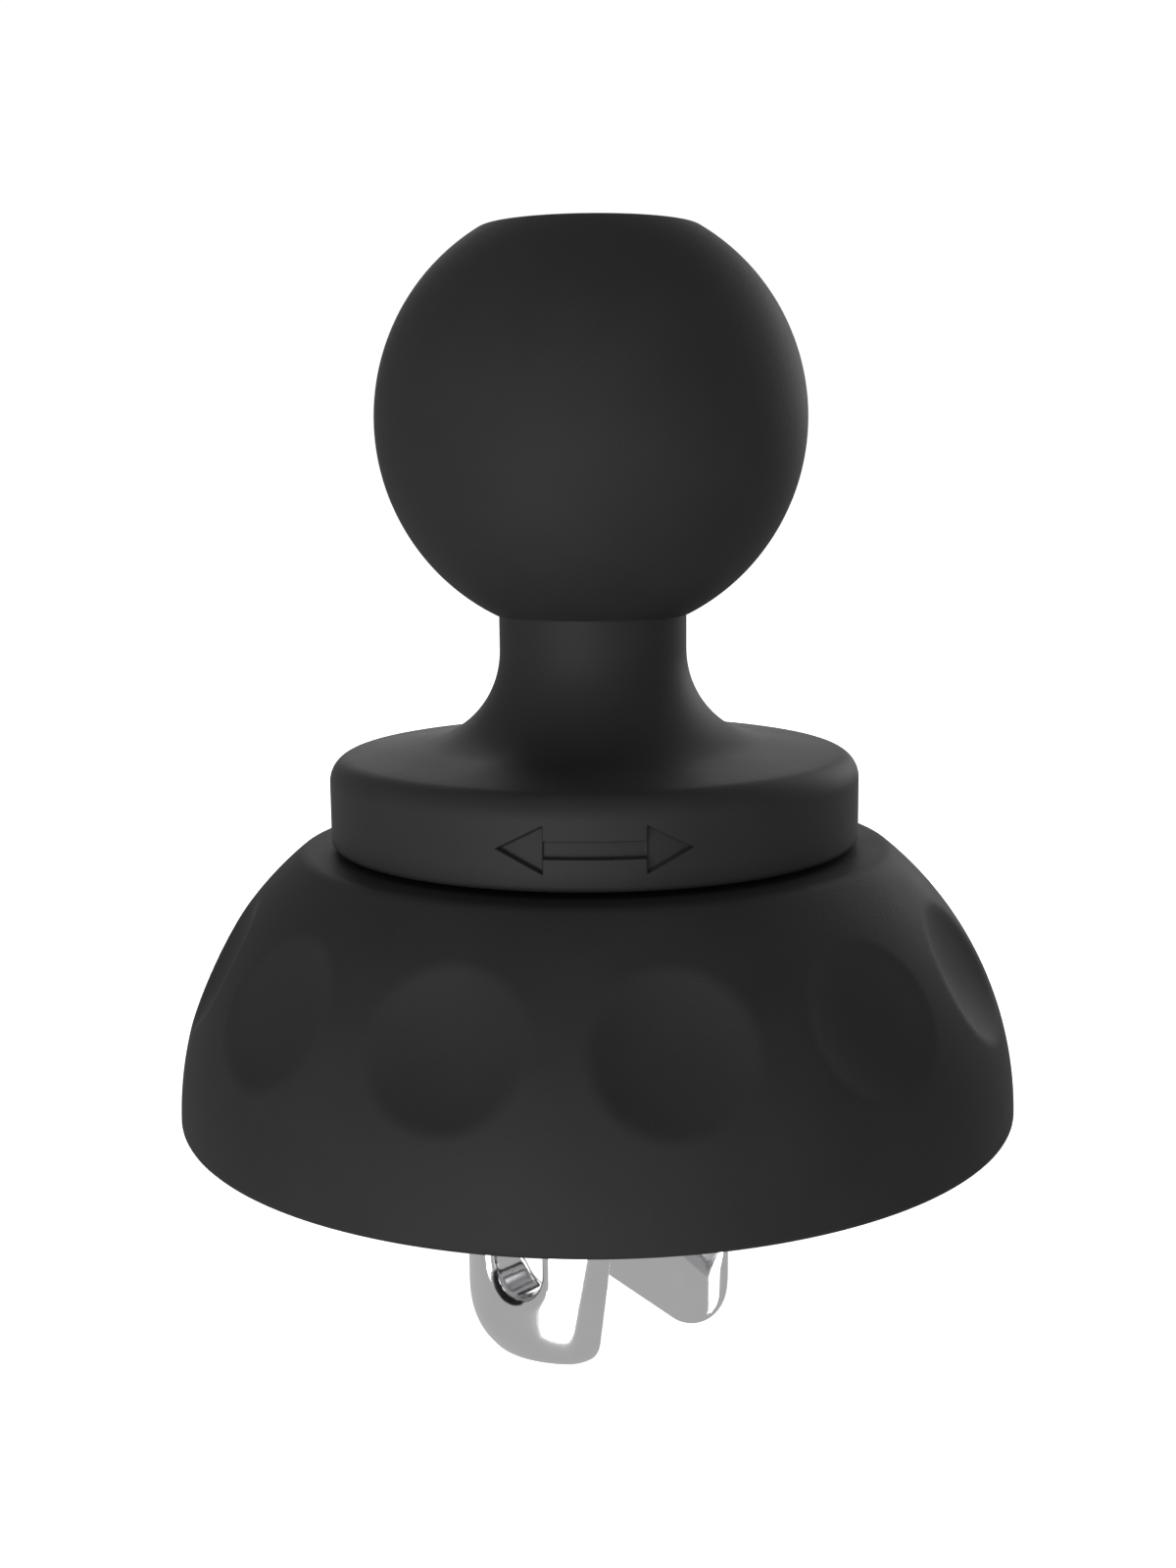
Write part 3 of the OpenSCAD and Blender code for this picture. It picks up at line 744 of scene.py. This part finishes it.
def hook_field(p, top, bottom):
    """Signed distance of the hook head, below zero inside the steel. The head is the same after half
    a turn, so one prong is described, on the -Y side of the gap: a blank rounded at its end, cut by
    the gap, the prong's outline, the crossbar's way in with its seat, and the lead-in bevel."""
    c, s = math.cos(HOOK_TURN), math.sin(HOOK_TURN)
    x = c * p[..., 0] + s * p[..., 1]
    y = -s * p[..., 0] + c * p[..., 1]
    z = p[..., 2]
    side = np.where(y > 0, -1.0, 1.0)
    x, y = x * side, y * side
    radius = np.hypot(x, y)
    bridge = top - RIM_DROP - BRIDGE_T
    seat_z = top - RIM_DROP - SEAT_DROP
    lip = seat_z - BAR_R + LIP_RISE

    below = np.minimum(z - (lip - NOSE_DROP), 0)
    nose = np.sqrt(radius ** 2 + below ** 2) - NOSE_R
    blank = round_and(soft_max(radius - HOOK_R, nose, NOSE_BLEND), z - top, TOP_EDGE)
    outline = prong_outline(x, z, bottom, lip, bridge + 1)
    opening = crossbar_opening(x, y, z, seat_z, lip, bridge - ROOF_DROP)
    face = round_and(y + GAP, TIP_X - x, FACE_END)
    bevel = (-math.sin(BEVEL_RISE) * math.sin(BEVEL_TILT) * (x - TIP_X)
             + math.cos(BEVEL_TILT) * (y + GAP)
             + math.cos(BEVEL_RISE) * math.sin(BEVEL_TILT) * (z - lip + BEVEL_DROP))

    # one prong, with each cut and the radius of the edge that it leaves
    prong = blank
    cuts = ((outline, OUTLINE_EDGE), (face, FACE_EDGE), (bevel, BEVEL_EDGE), (-opening, OPENING_EDGE))
    for cut, edge_r in cuts:
        prong = round_and(prong, cut, edge_r)

    # the bridge over both prongs, with the holes through it
    plate = round_and(blank, bridge - z, BRIDGE_EDGE)
    head = np.maximum(round_or(prong, plate, BRIDGE_CORNER), BORE_R - radius)
    keyway = np.maximum(KEYWAY_X - np.abs(x), np.maximum(np.abs(y) - KEYWAY_HALF, bridge - 1 - z))
    head = round_and(head, -keyway, KEYWAY_EDGE)
    pin = np.hypot(x, z - (bridge + top) / 2) - PIN_R
    return np.maximum(head, -pin)


def edge_ends(axis, across):
    """Slices that pick the first and the last node of every grid edge along an axis; across picks
    the nodes on the other two axes."""
    first = [across] * 3
    last = [across] * 3
    first[axis] = slice(0, -1)
    last[axis] = slice(1, None)
    return tuple(first), tuple(last)


def net_surface(field, low, high, step):
    """Surface where a field crosses zero: one point in each grid cell that it passes through, at the
    mean of the crossings on the cell's edges, joined by a quad across each crossed grid edge."""
    axes = [np.arange(l, h + step, step) for l, h in zip(low, high)]
    nodes = np.stack(np.meshgrid(*axes, indexing="ij"), -1)
    f = field(nodes)
    shape = tuple(n - 1 for n in f.shape)
    total = np.zeros(shape + (3,))
    count = np.zeros(shape)
    span = [slice(0, -1), slice(1, None)]
    for axis in range(3):
        first, last = edge_ends(axis, slice(None))
        a, b = f[first], f[last]
        cross = (a < 0) != (b < 0)
        share = np.where(cross, a / np.where(cross, a - b, 1), 0)
        spot = nodes[first].copy()
        spot[..., axis] += share * step
        others = [k for k in range(3) if k != axis]
        for near in span:
            for far in span:
                pick = [slice(None)] * 3
                pick[others[0]] = near
                pick[others[1]] = far
                hit = cross[tuple(pick)]
                total += spot[tuple(pick)] * hit[..., None]
                count += hit
    live = count > 0
    index = np.full(shape, -1)
    index[live] = np.arange(live.sum())
    points = total[live] / count[live][:, None]
    faces = []
    for axis in range(3):
        first, last = edge_ends(axis, slice(1, -1))
        a, b = f[first], f[last]
        crossed = np.nonzero((a < 0) != (b < 0))
        rising = (a < 0)[crossed]
        cell = [places + (0 if n == axis else 1) for n, places in enumerate(crossed)]
        u, v = (axis + 1) % 3, (axis + 2) % 3
        ring = []
        for du, dv in ((0, 0), (-1, 0), (-1, -1), (0, -1)):
            at = list(cell)
            at[u] = at[u] + du
            at[v] = at[v] + dv
            ring.append(index[tuple(at)])
        quads = np.stack(ring, -1)
        quads[~rising] = quads[~rising][:, ::-1]
        faces.append(quads)
    return points, np.concatenate(faces)


def settle(points, field, rounds):
    """Points slid along the field's slope until they lie on its zero surface: each round moves them
    by -f g / |g|^2, where g is the slope."""
    for _ in range(rounds):
        value = field(points)
        slope = np.stack([(field(points + PROBE * e) - field(points - PROBE * e)) / (2 * PROBE)
                          for e in np.eye(3)], -1)
        steep = np.maximum((slope ** 2).sum(-1), LEAST_SLOPE2)
        points = points - np.clip(value / steep, -LONGEST_SLIDE, LONGEST_SLIDE)[:, None] * slope
    return points


def hook_head():
    """Cast and polished hook head, with every outer edge rounded."""
    low, high = low_high("hook_head")

    def field(p):
        return hook_field(p, high[2], low[2])

    points, faces = net_surface(field, low - NET_MARGIN, high + NET_MARGIN, NET_STEP)
    points = settle(points, field, SETTLE_ROUNDS)
    add_piece("hook_head_rounded", points, faces.tolist(), "post", "polished_steel", "hook_head")


# ---------------------------------------------------------------- stage and light

STAGE_SIZE = 2.6
FLOOR_DROP = 0.15
FLOOR_GLOW = 0.8
BACKDROP_GLOW = 1.02
BACKDROP_REACH = STAGE_SIZE * 0.95
BACKDROP_START = -0.02
ROOM = 0.5
WHITE = (1.0, 1.0, 1.0)


def only_seen(surface):
    """The surface is seen by the camera, and sends no light or shadow to the object."""
    surface.visible_diffuse = False
    surface.visible_glossy = False
    surface.visible_transmission = False
    surface.visible_shadow = False


def stage_floor(height):
    """Plain pale floor at the given height in metres."""
    size = STAGE_SIZE
    mesh = bpy.data.meshes.new("floor")
    mesh.from_pydata([(-size, -size, height), (size, -size, height), (size, size, height),
                      (-size, size, height)], [], [(0, 1, 2, 3)])
    floor = bpy.data.objects.new("floor", mesh)
    bpy.context.scene.collection.objects.link(floor)
    made = Material("floor_paint", Roughness=0.9, Specular_IOR_Level=0.1,
                    Emission_Strength=FLOOR_GLOW)
    paint = made.blend(made.noise(size=60.0, detail=2.0), (0.79, 0.79, 0.79), (0.81, 0.81, 0.81))
    made.set("Base Color", paint)
    made.set("Emission Color", WHITE)
    mesh.materials.append(made.data)
    only_seen(floor)


def stage_backdrop():
    """Plain white dome far behind everything: half a sphere of rings, from just under the horizon."""
    rings, around = 24, 48
    up = np.linspace(BACKDROP_START, np.pi / 2, rings)[:, None]
    turn = even(around)
    reach = BACKDROP_REACH
    dome = np.stack([reach * np.cos(up) * np.cos(turn), reach * np.cos(up) * np.sin(turn),
                     reach * np.sin(up) + 0 * turn], -1).reshape(-1, 3)
    mesh = bpy.data.meshes.new("backdrop")
    mesh.from_pydata(dome.tolist(), [], turn_faces(rings, around, False)[:, ::-1].tolist())
    backdrop = bpy.data.objects.new("backdrop", mesh)
    bpy.context.scene.collection.objects.link(backdrop)
    made = Material("backdrop_white", Roughness=1.0, Specular_IOR_Level=0.0,
                    Emission_Strength=BACKDROP_GLOW)
    made.set("Base Color", (0.0, 0.0, 0.0))
    made.set("Emission Color", WHITE)
    mesh.materials.append(made.data)
    only_seen(backdrop)


def soft_light(name, place, aim, size, power):
    """Square soft box at place, turned to face aim."""
    data = bpy.data.lights.new(name, "AREA")
    data.shape = "SQUARE"
    data.size = size
    data.energy = power
    light = bpy.data.objects.new(name, data)
    bpy.context.scene.collection.objects.link(light)
    back = np.array(place, float) - np.array(aim, float)
    back /= np.linalg.norm(back)
    side = np.cross([0.0, 0.0, 1.0], back)
    side /= np.linalg.norm(side)
    light.matrix_world = placed(side, np.cross(back, side), back, place)
    light.visible_camera = False


def light_studio():
    """Soft grey room, a broad low key from the left front, an edge light from the right rear, and a
    light behind and above."""
    world = bpy.data.worlds.new("studio")
    world.use_nodes = True
    background = world.node_tree.nodes["Background"]
    background.inputs["Color"].default_value = (*WHITE, 1.0)
    background.inputs["Strength"].default_value = ROOM
    bpy.context.scene.world = world
    soft_light("key", place=(-0.110, -0.272, -0.062), aim=(0, 0, 0.005), size=0.31, power=1.35)
    soft_light("edge", place=(0.24, 0.26, 0.13), aim=(0, 0, 0.02), size=0.22, power=0.42)
    soft_light("back", place=(-0.02, 0.33, 0.16), aim=(0, 0, 0.02), size=0.25, power=0.24)
    bpy.context.scene.view_settings.view_transform = "Standard"
    bpy.context.scene.view_settings.look = "None"


add_camera()
ball_skin()
post_core()
stud()
knob_grip()
foot_pad()
hook_head()

for part in frame["record"]["subparts"]:
    node = frame["nodes"][part["node"]]
    node.data.materials.clear()
    node.data.materials.append(MATERIALS[part["material_slot"]])

stage_floor((low_high("hook_head")[0][2] - FLOOR_DROP) * MM)
stage_backdrop()
light_studio()
